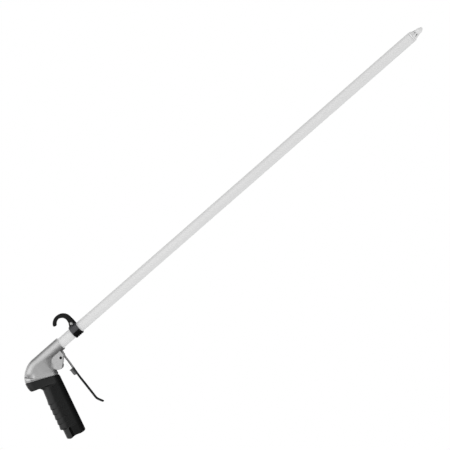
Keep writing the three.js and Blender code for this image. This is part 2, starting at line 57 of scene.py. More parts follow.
MM = 0.001
GAP = 0.3  # between pieces that touch
ROUND = 96  # sides of a large round
SMALL_ROUND = 48  # sides of a small one
SHARP = math.radians(34)  # an edge that turns by more than this stays crisp
CLEAR = 1  # how far a cutting tool reaches past what it cuts
OVERRUN = 5  # how far it does on the rim and along the handle
ASIDE = 20  # how far it reaches to each side of the gun

# How finely each moulded skin is remeshed, and how many times it is then smoothed.
MOULD = {"body": (0.6, 3), "head": (0.45, 5), "grip": (0.45, 2), "lever": (0.32, 3), "clamp": (0.33, 4)}

TUBE = {"radius": 9.525, "bore": 7.875, "start": -26.5, "end": 833.1}
BARREL = {"radius": 12, "back": -52, "blank": 1.5}  # the blank runs past the rim and is cut off flat there
SOCKET = {"radius": 9.65, "depth": 45.5}
AIRWAY = {"radius": 5, "back": -53}

CROWN = {"level": -58, "straight": 0.28, "pull": (-80, 12.1), "push": (-90, -2), "length": 75}
SWELL = {"start": 0.6, "height": 1.1}  # how the rear outline stands out a little above the joint
JOINT = {"front": (-40.2, -38.9), "rear": (-97.4, -12.6), "radii": (10.5, 13.3), "square": 0.6}
JOINT_ALONG = (Vector(JOINT["rear"]) - Vector(JOINT["front"])).normalized()
JOINT_DOWN = Vector((-JOINT_ALONG.y, JOINT_ALONG.x))  # square to the joint, into the grip
THROAT = (-38, -31.4)
THROAT_RADII = (8.6, BARREL["radius"])
PAST_JOINT = 1.05  # how far the body is drawn on before the joint trims it
LIP = {"height": 4.5, "proud": 0.1, "taper": 1.3, "trim": -1.2}
LIP_START = 1 - LIP["height"] / CROWN["length"]
SHADOW_GAP = {"top": -0.85, "bottom": 0.6, "depth": 0.9, "root": 3}  # the rebate round the top of the grip

THUMB_REST = {
    "at": (-83.5, -7.4),
    "turn": math.radians(-41),
    "length": 13,
    "rise": 9.5,
    "ledge": 2.2,
    "depth": 4.4,
    "side": 7,  # how far from the middle of the body it has its full depth
    "least": 0.25,  # the share of its depth that is left at the middle
    "smoothing": 4,
}
VALLEY = {  # the crease beside the ears: a line, how deep it is, and how far it reaches above and below
    "top": -11,
    "bend": -24,
    "curve": 0.03,
    "depth": 1.6,
    "end": -43,
    "fade": 11,
    "width": 7,
    "widens": 4,  # how far behind the bend its upper side starts to widen
    "widening": 1.4,
    "below": 12,
    "side": 6,  # how far from the middle of the body it has its full depth
}
EARS = {"half": 8.2, "slot": 6.2, "roof": -12.6, "back": -35.5}
PIVOT = {"x": -15.8, "z": -19.5, "pin": 2.3, "hollow": 1, "hole": 2.6, "half": 7.3, "eye": 5.3}

GRIP = {
    "lean": math.radians(15.8),
    "top": (-39.7, -39.4),
    "depth": 40,
    "front": 11,
    "rear": 14.4,
    "length": 116,
    "proud": 0.7,
    "straight": 26,  # how far down the handle the tang ends, and only the back changes below
    "shortfall": 0.4,  # how much shallower than its depth it is there
}
TEETH = {"first": 33.7, "last": 92.5, "count": 6, "height": 1.5, "fall": 1.4}
HEEL = {"start": 93.9, "depth": 37}
HEEL_GROOVE = {"start": 93.6, "back": 21.6, "half": 2.4, "floor": 11.3, "wall": 1.2, "depth": 9, "length": 30}
CORE = {"half": 12.5, "front": 8.5, "rear": 9.5, "start": -6, "end": 104}
INLET = {"bore": 5.9, "body": 7.8, "flange": 10.2, "thickness": 3, "length": 20, "end": 110.5, "chamfer": 0.8}
THREAD = {"start": 1.2, "pitch": 1.4, "depth": 0.55, "turns": 11}
PASSAGE = 4.2

VALVE = {"z": -25.8, "chamber": 4.4, "back": -68, "stem": 1.6, "tip": -11.2}
OUTLET = {"x": -49, "radius": 3.2}
POPPET = {"radius": 3.9, "start": -59, "end": -57.2}
GLAND = {
    "start": -44.5,
    "step": -42,
    "thread": 4.1,
    "bore": 3.5,
    "guide": 2,
    "head": 5.5,
    "face": 4.7,
    "flats": 5.6,
}
LEVER = {
    "thickness": 1.8,
    "half": 5.9,
    "inset": 0.4,  # how far inside the web's edges the flanges stand
    "widens": 44,  # how far down it starts to widen, and over what length
    "widening": 16,
    "tip_half": 6.6,
    "corner": 3.5,
    "black_below": -46.5,  # the level below which it is black
    "foot": (-62, -14.4),  # the end of the flanges, kept out of the black and given painted shade: its lowest level, and it lies behind this X
}

RING = {"start": 29.3, "end": 45, "upper": 12.4, "lower": 11.9, "bore": 9.8, "waist": -1.5}
RIB_GAPS = {"at": (33.2, 37.2, 41.2), "half": 0.9, "floor_half": 0.6, "depth": 0.8}
HOOK = {"half": 4.5, "outer": (26.8, 24.2, 18.28), "inner": (25.7, 24.7, 10.9)}
LUG = {"half": 6.6, "top": 18.4, "slit": (-1.6, -0.5)}
SCREW = {"x": 39.9, "z": 14.1, "radius": 1.6, "hole": 1.9, "head": 2.8, "height": 2.2, "slot": 0.55}
WASHER = {"start": 1.1, "end": 0.2, "radius": 3.7}  # both from the lug's face, outwards
NUT = {"radius": 3.2, "thickness": 2.4, "pocket": 3}

BASE = {"start": 812, "end": 842, "bore": 4.6, "spigot": 7.6, "collar": 9.3, "neck": 5.5}
BASE_GROOVE = {"start": 818.7, "end": 821.3, "radius": 6.2}
NOZZLE = {"collar": 833.4, "cone": 836.8, "tip": 858.3}
AIR_SLOTS = {"count": 8, "start": 838.8, "end": 846.2, "width": 2.6, "radii": (4.4, 12.4)}
FIRST_SLOT = math.radians(18)  # how far the first one is turned from the near side
JET = {"start": 839.2, "flange": 841.6, "end": 852, "bore": 1.2}

tube_low, tube_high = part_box("extension_tube")
ORIGIN = Vector((tube_low.x / MM - TUBE["start"], 0, (tube_low.z + tube_high.z) / 2 / MM))

# ---- Mesh helpers ---------------------------------------------------------------------------------------


def mesh_of(points, faces):
    """A closed mesh with its normals facing out."""
    mesh = bpy.data.meshes.new("shape")
    mesh.from_pydata([tuple(p) for p in points], [], faces)
    work = bmesh.new()
    work.from_mesh(mesh)
    bmesh.ops.recalc_face_normals(work, faces=work.faces)
    work.to_mesh(mesh)
    work.free()
    return mesh


def skin(rings, closed=False):
    """Faces between neighbouring rings of point numbers; a pole is a ring that repeats one number."""
    faces = []
    count = len(rings[0])
    for a, b in zip(rings, rings[1:] + (rings[:1] if closed else [])):
        for i in range(count):
            j = (i + 1) % count
            face = list(dict.fromkeys((a[i], a[j], b[j], b[i])))
            if len(face) > 2:
                faces.append(face)
    return faces


def loft(sections):
    """A skin through sections of equally many points, closed by a flat cap at each end."""
    count = len(sections[0])
    points = [p for section in sections for p in section]
    rings = [list(range(k * count, (k + 1) * count)) for k in range(len(sections))]
    return mesh_of(points, skin(rings) + [rings[0], rings[-1]])


def turned(profile, segments=ROUND, z=0.0):
    """A profile of (x, radius) points turned about a line along X: a ring unless it ends on the line."""
    points, rings = [], []
    for x, radius in profile:
        if radius == 0:
            rings.append([len(points)] * segments)
            points.append((x, 0, z))
            continue
        rings.append(list(range(len(points), len(points) + segments)))
        for i in range(segments):
            angle = 2 * math.pi * i / segments
            points.append((x, radius * math.sin(angle), z + radius * math.cos(angle)))
    return mesh_of(points, skin(rings, closed=profile[0][1] > 0))


def eased(profile, radius, steps=4):
    """The same profile with its corners rounded. Points on the axis stay where they are."""
    smooth = []
    for k, corner in enumerate(profile):
        if corner[1] == 0:
            smooth.append(corner)
            continue
        here = Vector(corner)
        before = Vector(profile[k - 1]) - here
        after = Vector(profile[(k + 1) % len(profile)]) - here
        reach = min(radius, before.length * 0.45, after.length * 0.45)
        p, q = here + before.normalized() * reach, here + after.normalized() * reach
        for s in range(steps + 1):
            t = s / steps
            smooth.append(tuple(p * (1 - t) ** 2 + here * 2 * t * (1 - t) + q * t**2))
    return smooth


def rod(x0, x1, radius, segments=SMALL_ROUND, z=0.0):
    return turned([(x0, 0), (x0, radius), (x1, radius), (x1, 0)], segments, z)


def aimed(mesh, start, along):
    """A mesh drawn along X, moved so that X = 0 is at start and X runs along a direction."""
    turn = Vector((1, 0, 0)).rotation_difference(Vector(along)).to_matrix().to_4x4()
    mesh.transform(Matrix.Translation(start) @ turn)
    return mesh


def bar(start, end, radius, segments=SMALL_ROUND):
    along = Vector(end) - Vector(start)
    return aimed(rod(0, along.length, radius, segments), start, along)


def across(profile, x, z):
    """A turned profile whose axis crosses the gun along Y, at a place in the XZ plane."""
    return aimed(turned(profile, SMALL_ROUND), (x, 0, z), (0, 1, 0))


def cross_bar(spot, radius, start=-ASIDE, end=ASIDE, segments=SMALL_ROUND):
    """A bar across the gun along Y, from start to end, at the x and z of a spot."""
    return bar((spot["x"], start, spot["z"]), (spot["x"], end, spot["z"]), radius, segments)


def prism(outline, y0, y1):
    sections = [[(x, y, z) for x, z in outline] for y in (y0, y1)]
    return loft(sections)


def block(x0, x1, y0, y1, z0, z1):
    return prism([(x0, z0), (x1, z0), (x1, z1), (x0, z1)], y0, y1)


def joined(*meshes):
    work = bmesh.new()
    for mesh in meshes:
        work.from_mesh(mesh)
    whole = bpy.data.meshes.new("shape")
    work.to_mesh(whole)
    work.free()
    return whole


def modified(mesh, kind, operand=None, **settings):
    """The mesh after one modifier."""
    holder = bpy.data.objects.new("work", mesh)
    bpy.context.scene.collection.objects.link(holder)
    modifier = holder.modifiers.new("work", kind)
    other = None
    if operand:
        other = bpy.data.objects.new("other", operand)
        bpy.context.scene.collection.objects.link(other)
        modifier.object = other
    for key, value in settings.items():
        setattr(modifier, key, value)
    graph = bpy.context.evaluated_depsgraph_get()
    result = bpy.data.meshes.new_from_object(holder.evaluated_get(graph))
    for spare in filter(None, (holder, other)):
        bpy.data.objects.remove(spare)
    return result


def cut(mesh, *tools):
    for tool in tools:
        mesh = modified(mesh, "BOOLEAN", tool, operation="DIFFERENCE", solver="EXACT")
    return mesh


def union(mesh, *others):
    for other in others:
        mesh = modified(mesh, "BOOLEAN", other, operation="UNION", solver="EXACT")
    return mesh


def overlap(mesh, other):
    return modified(mesh, "BOOLEAN", other, operation="INTERSECT", solver="EXACT")


def smoothed(mesh, times):
    return modified(mesh, "SMOOTH", factor=0.5, iterations=times)


def moulded(mesh, voxel, smoothing):
    """Overlapping closed shells as one skin, with its edges and inner corners rounded."""
    return smoothed(modified(mesh, "REMESH", mode="VOXEL", voxel_size=voxel), smoothing)


# ---- Curves and sections --------------------------------------------------------------------------------


def mix(a, b, t):
    return tuple(p + (q - p) * t for p, q in zip(a, b))


def bezier_point(points, t):
    """The place at t, from 0 to 1, on the curve from the first point to the last, drawn to the others."""
    level = [tuple(p) for p in points]
    while len(level) > 1:
        level = [mix(a, b, t) for a, b in zip(level, level[1:])]
    return level[0]


def bezier(points, steps):
    return [bezier_point(points, k / steps) for k in range(steps + 1)]


def arc(x, z, radius, start, end, steps):
    angles = [start + (end - start) * k / steps for k in range(steps + 1)]
    return [(x + radius * math.cos(a), z + radius * math.sin(a)) for a in angles]


def through(rows, steps):
    """Rows of numbers joined smoothly, with that many steps between neighbours."""
    padded = [rows[0], *rows, rows[-1]]
    curve = []
    for four in zip(padded, padded[1:], padded[2:], padded[3:]):
        for k in range(steps):
            t = k / steps
            weights = (
                -0.5 * t + t**2 - 0.5 * t**3,
                1 - 2.5 * t**2 + 1.5 * t**3,
                0.5 * t + 2 * t**2 - 1.5 * t**3,
                -0.5 * t**2 + 0.5 * t**3,
            )
            curve.append(tuple(sum(w * value for w, value in zip(weights, column)) for column in zip(*four)))
    return [*curve, tuple(rows[-1])]


def egg(front, rear, front_radius, rear_radius, grow=0.0, steps=32, square=1.0):
    """A ring of 3D points round a front and a rear circle, whose far ends are two (x, z) points.

    It can be grown all round, and a square below 1 makes its front end boxier.
    """
    f, r = Vector(front), Vector(rear)
    along = (r - f).normalized()
    f0, r0 = f + along * front_radius, r - along * rear_radius
    turn = math.acos((front_radius - rear_radius) / (r0 - f0).length)
    ring = []
    ends = ((r0, rear_radius, -turn, turn, 1.0), (f0, front_radius, turn, 2 * math.pi - turn, square))
    for centre, radius, start, end, power in ends:
        for k in range(steps + 1):
            angle = start + (end - start) * k / steps
            c, s = math.cos(angle), math.sin(angle)
            at = centre + along * ((radius + grow) * math.copysign(abs(c) ** power, c))
            ring.append((at.x, (radius + grow) * math.copysign(abs(s) ** power, s), at.y))
    return ring


DOWN = (-math.sin(GRIP["lean"]), -math.cos(GRIP["lean"]))  # along the handle, away from the head
BACK = (-math.cos(GRIP["lean"]), math.sin(GRIP["lean"]))  # across it, towards the palm


def on_handle(down, back):
    """The point that lies down the handle and back from its front edge."""
    return tuple(GRIP["top"][i] + down * DOWN[i] + back * BACK[i] for i in (0, 1))


def on_axis(down, back=GRIP["depth"] / 2):
    """The same as a 3D point, half way back unless told otherwise."""
    x, z = on_handle(down, back)
    return (x, 0, z)


def down_handle(profile):
    """A turned profile whose axis is the handle's middle line, with X measured down it."""
    return aimed(turned(profile), on_axis(0), (DOWN[0], 0, DOWN[1]))


# ---- Head -----------------------------------------------------------------------------------------------


def crown_point(t):
    """The rear outline: level from over the throat (0), then a curve round to the rear of the joint (1)."""
    straight, top = CROWN["straight"], BARREL["radius"]
    if t < straight:
        return mix((THROAT[0], top), (CROWN["level"], top), t / straight)
    bend = [(CROWN["level"], top), CROWN["pull"], CROWN["push"], JOINT["rear"]]
    x, z = bezier_point(bend, (t - straight) / (1 - straight))
    s = max(0, (t - SWELL["start"]) / (1 - SWELL["start"]))
    out = 4 * SWELL["height"] * s * (1 - s)
    end = (Vector(JOINT["rear"]) - Vector(CROWN["push"])).normalized()
    return (x + end.y * out, z - end.x * out)


def head_body():
    """The body, from between the ears round past the joint. Under the lip it is thinner."""
    front_radius, top = THROAT_RADII[0], BARREL["radius"] - 0.05
    lead = [  # the front and the rear point, then their radii
        (-20, -26, -20, 4, 8, 8),
        (-29, -31.6, -29, 10, 8.1, 10.2),
        (*THROAT, THROAT[0], top, front_radius, top),
    ]
    sections = [egg(row[0:2], row[2:4], *row[4:]) for row in through(lead, 8)]
    steps = 44
    for k in range(1, steps + 1):
        t = PAST_JOINT * k / steps
        sections.append(fanned(t, 0 if t < LIP_START + 0.01 else -LIP["taper"]))
    return loft(sections)


def fanned(t, grow=0.0):
    """The body's section from the throat (0) round to the grip joint (1)."""
    front = mix(THROAT, JOINT["front"], t)
    square = 1 - (1 - JOINT["square"]) * min(1, 2 * t)
    return egg(front, crown_point(t), *mix(THROAT_RADII, JOINT["radii"], t), grow, square=square)


def joint_lip():
    """The lip that stands proud of the body at its top and draws in towards the joint."""
    steps = 4
    rings = []
    for k in range(steps + 1):
        grow = LIP["proud"] - LIP["taper"] * k / steps
        rings.append(fanned(LIP_START + (PAST_JOINT - LIP_START) * k / steps, grow))
    return loft(rings)


def ear_outline():
    """The ears from the side. Their top and back are inside the barrel and the body."""
    return [
        (-48, -6),
        (-8, -6),
        *bezier([(-8, -18.6), (-8.2, -19.6), (-9.4, -20.6)], 6),
        *bezier([(-24.4, -34), (-26.9, -36.2), (-29.4, -34.8)], 8),
        (-35.3, -31.9),
        (-38.5, -26),
        (-48, -24),
    ]


def valley(mesh):
    """Presses the body in beside the ears, so that they stand out along a soft crease below the barrel."""
    for vertex in mesh.vertices:
        x, y, z = vertex.co
        back = max(0, VALLEY["bend"] - x)
        line = VALLEY["top"] - VALLEY["curve"] * back**2
        depth = VALLEY["depth"] * min(1, max(0, (x - VALLEY["end"]) / VALLEY["fade"]))
        width = VALLEY["width"] + VALLEY["widening"] * max(0, back - VALLEY["widens"])
        above = z - line
        share = max(0, 1 - above / width) ** 2 if above > 0 else max(0, 1 + above / VALLEY["below"])
        vertex.co.y -= math.copysign(depth * share * min(1, abs(y) / VALLEY["side"]), y)
    return mesh


def pressed_thumb_rests(mesh):
    """Scoops a thumb rest into each side: it deepens going down and ends at a ledge."""
    spot = THUMB_REST
    cosine, sine = math.cos(spot["turn"]), math.sin(spot["turn"])
    normals = [vertex.normal.copy() for vertex in mesh.vertices]
    for vertex, normal in zip(mesh.vertices, normals):
        x, z = vertex.co.x - spot["at"][0], vertex.co.z - spot["at"][1]
        u, v = (x * cosine + z * sine) / spot["length"], z * cosine - x * sine
        fall = 1 + v / spot["ledge"] if v < 0 else max(0, 1 - v / spot["rise"]) ** 2
        aside = spot["least"] + (1 - spot["least"]) * min(abs(vertex.co.y) / spot["side"], 1) ** 2
        if abs(u) < 1 and fall > 0:
            vertex.co -= normal * (spot["depth"] * fall * (1 - u * u) ** 2 * aside)
    return smoothed(mesh, spot["smoothing"])


def beside_joint(offset, side):
    """A block beyond the grip joint: below (side 1) or above (side -1) its plane moved down by an offset."""
    past, reach = JOINT_ALONG * 30, JOINT_DOWN * side * 60
    front = Vector(JOINT["front"]) - past + JOINT_DOWN * offset
    rear = Vector(JOINT["rear"]) + past + JOINT_DOWN * offset
    return prism([front, rear, rear + reach, front + reach], -30, 30)


def handle_section(down, grow=0.0):
    """The section of the head's core, which runs down inside the grip."""
    middle = GRIP["depth"] / 2
    front, rear = on_handle(down, middle - CORE["half"]), on_handle(down, middle + CORE["half"])
    return egg(front, rear, CORE["front"], CORE["rear"], grow, 16)


def head_casting():
    """The moulded head and its core, with the tube's socket, the lever's slot and the ways for the air."""
    barrel = rod(BARREL["back"], BARREL["blank"], BARREL["radius"], ROUND)
    ears = prism(ear_outline(), -EARS["half"], EARS["half"])
    body = valley(moulded(head_body(), *MOULD["body"]))
    shell = moulded(joined(barrel, body, ears), *MOULD["head"])
    shell = cut(union(pressed_thumb_rests(shell), joint_lip()), beside_joint(LIP["trim"], 1))
    shell = union(shell, loft([handle_section(CORE["start"]), handle_section(CORE["end"])]))
    wide, low, bottom = BARREL["radius"] + 3, -48, on_axis(CORE["end"] + OVERRUN)
    return cut(
        shell,
        block(0, OVERRUN, -wide, wide, -wide, wide),
        rod(-SOCKET["depth"], CLEAR, SOCKET["radius"], ROUND),
        rod(AIRWAY["back"], -SOCKET["depth"] + CLEAR, AIRWAY["radius"]),
        block(EARS["back"], 3, -EARS["slot"], EARS["slot"], low, EARS["roof"]),
        cross_bar(PIVOT, PIVOT["hole"]),
        rod(VALVE["back"], EARS["back"] + CLEAR, VALVE["chamber"], SMALL_ROUND, VALVE["z"]),
        bar((OUTLET["x"], 0, VALVE["z"]), (OUTLET["x"], 0, -1), OUTLET["radius"]),
        bar(on_axis(2), bottom, PASSAGE),
        bar(on_axis(INLET["end"] - INLET["length"] - CLEAR), bottom, INLET["body"] + GAP),
    )


# ---- Grip -----------------------------------------------------------------------------------------------


def tooth(down):
    """How far the rear edge stands out at a distance down the handle."""
    pitch = (TEETH["last"] - TEETH["first"]) / TEETH["count"]
    if not TEETH["first"] < down < TEETH["last"]:
        return 0
    along = (down - TEETH["first"]) % pitch
    return TEETH["height"] * min(along / (pitch - TEETH["fall"]), (pitch - along) / TEETH["fall"])


def grip_sections():
    """The sleeve's sections: the tang that follows the joint, the toothed back and the heel."""
    proud, straight, radii = GRIP["proud"], GRIP["straight"], (GRIP["front"], GRIP["rear"])
    tang = [  # the front and the rear point, then their radii
        (-39.2, -37, -96.2, -9.5, 10.5, 13.3),
        (-39.6, -39.5, -97.6, -13, 10.5, 13.3),
        (-40.3, -44, -99.5, -22, 10.6, 12.6),
        (-41.3, -47.4, -99.5, -28.3, 10.7, 12),
        (-41.7, -49, -97.3, -31.2, 10.8, 12),
        (-42.1, -50.2, -90, -33.6, 10.9, 13),
        (-42.4, -51.5, -83.8, -36.6, 10.9, 14),
    ]
    for down, depth in ((13.8, 39.2), (18.6, 39.2), (straight, GRIP["depth"] - GRIP["shortfall"])):
        tang.append((*on_handle(down, -proud), *on_handle(down, depth), *radii))
    sections = [egg(row[0:2], row[2:4], *row[4:]) for row in through(tang, 8)]
    spacing, blend = 0.6, 12
    for k in range(1, round((TEETH["last"] - straight) / spacing) + 1):
        down = straight + k * spacing
        depth = GRIP["depth"] - GRIP["shortfall"] * max(0, 1 - k / blend) + tooth(down)
        sections.append(egg(on_handle(down, -proud), on_handle(down, depth), *radii))
    for down in (HEEL["start"], GRIP["length"]):
        sections.append(egg(on_handle(down, -proud), on_handle(down, HEEL["depth"]), *radii))
    return sections


def grip_base():
    """What trims the bottom of the grip to its stepped heel."""
    lower = [
        (-120, -118),
        (-105.2, -134.8),
        (-103.5, -137),
        (-98.4, -140.4),
        (-95.8, -141.2),
        (-88.6, -141),
        (-84.5, -141.9),
        (-77.3, -144.9),
        (-72.1, -145.7),
        (-69.9, -144.6),
        (-68.4, -141.6),
        (-20, -141.6),
    ]
    return prism([(-120, -160), *lower, (-20, -160)], -30, 30)


def grip_neck():
    """The narrower top of the sleeve, which leaves a dark rebate under the head."""
    rings = []
    for offset in (SHADOW_GAP["top"], SHADOW_GAP["bottom"] + SHADOW_GAP["root"]):
        front, rear = (Vector(JOINT[end]) + JOINT_DOWN * offset for end in ("front", "rear"))
        rings.append(egg(front, rear, *JOINT["radii"], -SHADOW_GAP["depth"]))
    return loft(rings)


def heel_groove(side):
    """The deep channel down the side of the heel, open at the bottom."""
    half, length, floor = HEEL_GROOVE["half"], HEEL_GROOVE["length"], HEEL_GROOVE["floor"]
    outline = [*arc(half, 0, half, math.pi / 2, 1.5 * math.pi, 12), (length, -half), (length, half)]
    tool = prism(outline, *sorted((side * floor, side * (floor + HEEL_GROOVE["depth"]))))
    turn = Matrix.Rotation(math.pi / 2 + GRIP["lean"], 4, "Y")
    tool.transform(Matrix.Translation(on_axis(HEEL_GROOVE["start"], HEEL_GROOVE["back"])) @ turn)
    return tool


def in_heel_groove(at):
    """Whether a place on the grip's skin is on the floor or low on the wall of one of the two channels, which
    get painted shade.
    """
    slack, floor = 0.05, HEEL_GROOVE["floor"]
    x, z = at.x - GRIP["top"][0], at.z - GRIP["top"][1]
    down, back = x * DOWN[0] + z * DOWN[1], x * BACK[0] + z * BACK[1]
    inside = abs(back - HEEL_GROOVE["back"]) < HEEL_GROOVE["half"] + slack
    inside = inside and down > HEEL_GROOVE["start"] - slack
    return inside and floor - 2 * slack < abs(at.y) < floor + HEEL_GROOVE["wall"]


def grip_sleeve():
    """The moulded grip, hollow for the head's core and bored for the inlet, with its channels."""
    outside = moulded(loft(grip_sections()), *MOULD["grip"])
    outside = cut(outside, grip_base(), beside_joint(SHADOW_GAP["bottom"], -1))
    outside = union(outside, grip_neck())
    washer = 0.8
    seat = INLET["end"] - INLET["thickness"] - GAP - washer
    bottom = on_axis(GRIP["length"] + OVERRUN)
    return cut(
        outside,
        loft([handle_section(2 * CORE["start"], GAP), handle_section(CORE["end"] + GAP, GAP)]),
        bar(on_axis(CORE["end"] - OVERRUN), bottom, INLET["body"] + GAP),
        bar(on_axis(seat), bottom, INLET["flange"] + GAP, ROUND),
        heel_groove(-1),
        heel_groove(1),
    )


def inlet_bushing():
    """The steel bushing, with its thread as a row of V-grooves down the bore."""
    start, seat, end = INLET["end"] - INLET["length"], INLET["end"] - INLET["thickness"], INLET["end"]
    body, flange, bore, chamfer = INLET["body"], INLET["flange"], INLET["bore"], INLET["chamfer"]
    profile = [(start, body), (seat, body), (seat, flange), (end, flange)]
    profile += [(end, bore + chamfer), (end - chamfer, bore)]
    for k in range(THREAD["turns"]):
        crest = end - THREAD["start"] - k * THREAD["pitch"]
        profile += [(crest, bore), (crest - THREAD["pitch"] / 2, bore + THREAD["depth"])]
    return down_handle(eased([*profile, (start, bore)], 0.2, 3))


# ---- Valve and trigger ----------------------------------------------------------------------------------


def gland_nut():
    """The hexagon nut that closes the valve's chamber, with its thread as a plain cylinder."""
    start, head, end = GLAND["start"], EARS["back"] + 0.9, EARS["back"] + 3.3
    step, bore, thread, guide = GLAND["step"], GLAND["bore"], GLAND["thread"], GLAND["guide"]
    profile = [(start, bore), (start, thread), (head, thread), (head + 0.2, GLAND["head"])]
    profile += [(end - 0.5, GLAND["head"]), (end, GLAND["face"]), (end, guide), (step, guide), (step, bore)]
    nut = turned(profile, SMALL_ROUND, VALVE["z"])
    return overlap(nut, rod(start - 1.5, end + CLEAR, GLAND["flats"], 6, VALVE["z"]))


def valve_stem():
    """The push rod, with the poppet's disc at its back and a domed tip under the lever."""
    tip, stem = VALVE["tip"], VALVE["stem"]
    start, end, disc = POPPET["start"], POPPET["end"], POPPET["radius"]
    profile = [(start, 0), (start, disc), (end, disc), (end, stem), (tip - stem, stem)]
    nose = [(tip - stem + stem * math.sin(a), stem * math.cos(a)) for a in (0.4, 0.8, 1.2)]
    return turned([*profile, *nose, (tip, 0)], SMALL_ROUND, VALVE["z"])


def lever_path():
    """The front face of the lever's web, from its top to its curled tip."""
    rows = [
        (-6.2, -13.2),
        (-8.4, -18.5),
        (-9.3, -25),
        (-9.7, -33),
        (-10.9, -45.5),
        (-12.1, -57),
        (-13.1, -68),
        (-13.8, -84),
        (-14.6, -100),
        (-15.2, -111),
        (-15.2, -114.5),
        (-14.1, -118.8),
        (-9.4, -128.2),
    ]
    return through(rows, 6)


def lever_web():
    """A bent strip that widens towards its tip, which has round corners."""
    path = [Vector(p) for p in lever_path()]
    lengths = [0.0]
    for a, b in zip(path, path[1:]):
        lengths.append(lengths[-1] + (b - a).length)
    total, tip, corner = lengths[-1], LEVER["tip_half"], LEVER["corner"]
    sections = []
    for k, (here, run) in enumerate(zip(path, lengths)):
        before, after = path[max(k - 1, 0)], path[min(k + 1, len(path) - 1)]
        along = (after - before).normalized()
        behind = Vector((along.y, -along.x)) * LEVER["thickness"]
        widening = min(max((run - LEVER["widens"]) / LEVER["widening"], 0), 1)
        half = LEVER["half"] + (tip - LEVER["half"]) * widening
        past = run - (total - corner)
        if past > 0:
            half = tip - corner + math.sqrt(max(corner**2 - past**2, 0))
        corners = ((here, -half), (here, half), (here + behind, half), (here + behind, -half))
        sections.append([(at.x, y, at.y) for at, y in corners])
    return loft(sections)


def lever_flange(side):
    """The cheek behind one edge of the web, with its round eye about the pivot."""
    outline = [
        (-7.4, -13.4),
        (-14.5, -14.2),
        *arc(PIVOT["x"], PIVOT["z"], PIVOT["eye"], 1.2, math.pi + 0.2, 16),
        (-19.6, -28),
        (-19.4, -47.2),
        (-18.5, -48.5),
        *bezier([(-19, -56.6), (-18.8, -59.4), (-16, -59.8)], 6),
        (-13.6, -60),
        (-12, -47),
        (-10.4, -33),
        (-10, -25),
    ]
    outer = LEVER["half"] - LEVER["inset"]
    return prism(outline, *sorted((side * outer, side * (outer - LEVER["thickness"]))))


def trigger_lever():
    flanges = moulded(joined(lever_flange(-1), lever_flange(1)), *MOULD["lever"])
    lever = union(moulded(lever_web(), *MOULD["lever"]), flanges)
    return cut(lever, cross_bar(PIVOT, PIVOT["hole"]))


def trigger_pivot_pin():
    half, pin, hollow = PIVOT["half"], PIVOT["pin"], PIVOT["hollow"]
    profile = eased([(-half, hollow), (-half, pin), (half, pin), (half, hollow)], 0.4)
    return across(profile, PIVOT["x"], PIVOT["z"])


# ---- Tube and nozzle ------------------------------------------------------------------------------------


def extension_tube():
    start, end, radius, bore = TUBE["start"], TUBE["end"], TUBE["radius"], TUBE["bore"]
    return turned(eased([(start, bore), (start, radius), (end, radius), (end, bore)], 0.35))


def nozzle_base():
    """The collar at the tube's end, with a grooved spigot inside the tube and a neck inside the nozzle."""
    start, end, bore, spigot, neck = BASE["start"], BASE["end"], BASE["bore"], BASE["spigot"], BASE["neck"]
    collar, face = NOZZLE["collar"], NOZZLE["cone"] - GAP
    groove_start, groove_end, floor = BASE_GROOVE["start"], BASE_GROOVE["end"], BASE_GROOVE["radius"]
    profile = [(start, bore), (start, spigot), (groove_start, spigot), (groove_start, floor)]
    profile += [(groove_end, floor), (groove_end, spigot), (collar - 0.01, spigot)]
    profile += [(collar, BASE["collar"]), (face, BASE["collar"]), (face, neck), (end, neck), (end, bore)]
    return turned(eased(profile, 0.45))


def air_slot(number):
    """A round-ended slot through the nozzle's wall, turned to its place about the tube's axis."""
    inner, outer = AIR_SLOTS["radii"]
    radius = AIR_SLOTS["width"] / 2
    outline = arc(AIR_SLOTS["end"] - radius, 0, radius, -math.pi / 2, math.pi / 2, 8)
    outline += arc(AIR_SLOTS["start"] + radius, 0, radius, math.pi / 2, 1.5 * math.pi, 8)
    tool = prism(outline, -outer, -inner)
    tool.transform(Matrix.Rotation(2 * math.pi * number / AIR_SLOTS["count"] - FIRST_SLOT, 4, "X"))
    return tool


def nozzle_body():
    """The hollow cone, from its base to its tip and back inside."""
    cone, tip = NOZZLE["cone"], NOZZLE["tip"]
    outer = [(838.6, 7.9), (841, 6.9), (843.8, 6.1), (847, 5.4)]
    outer += [(850, 5.1), (853, 4.5), (855.4, 3.4), (857, 2.4)]
    profile = [(cone, 5.8), (cone, 8.9), (cone + 0.5, 9), *through(outer, 3), (tip, 1.9), (tip, 1.5)]
    profile += [(854, 1.7), (852.6, 3.4), (848, 3.7), (842.6, 4.9), (842.3, 5.8)]
    return cut(turned(profile), *[air_slot(number) for number in range(AIR_SLOTS["count"])])


def nozzle_jet():
    start, flange, end, bore = JET["start"], JET["flange"], JET["end"], JET["bore"]
    profile = [(start, bore), (start, 4.3), (flange, 4.3), (flange, 2.6)]
    profile += [(end - 3, 2.2), (end, 1.6), (end, bore)]
    return turned(eased(profile, 0.2), SMALL_ROUND)


# ---- Hanging hook ---------------------------------------------------------------------------------------


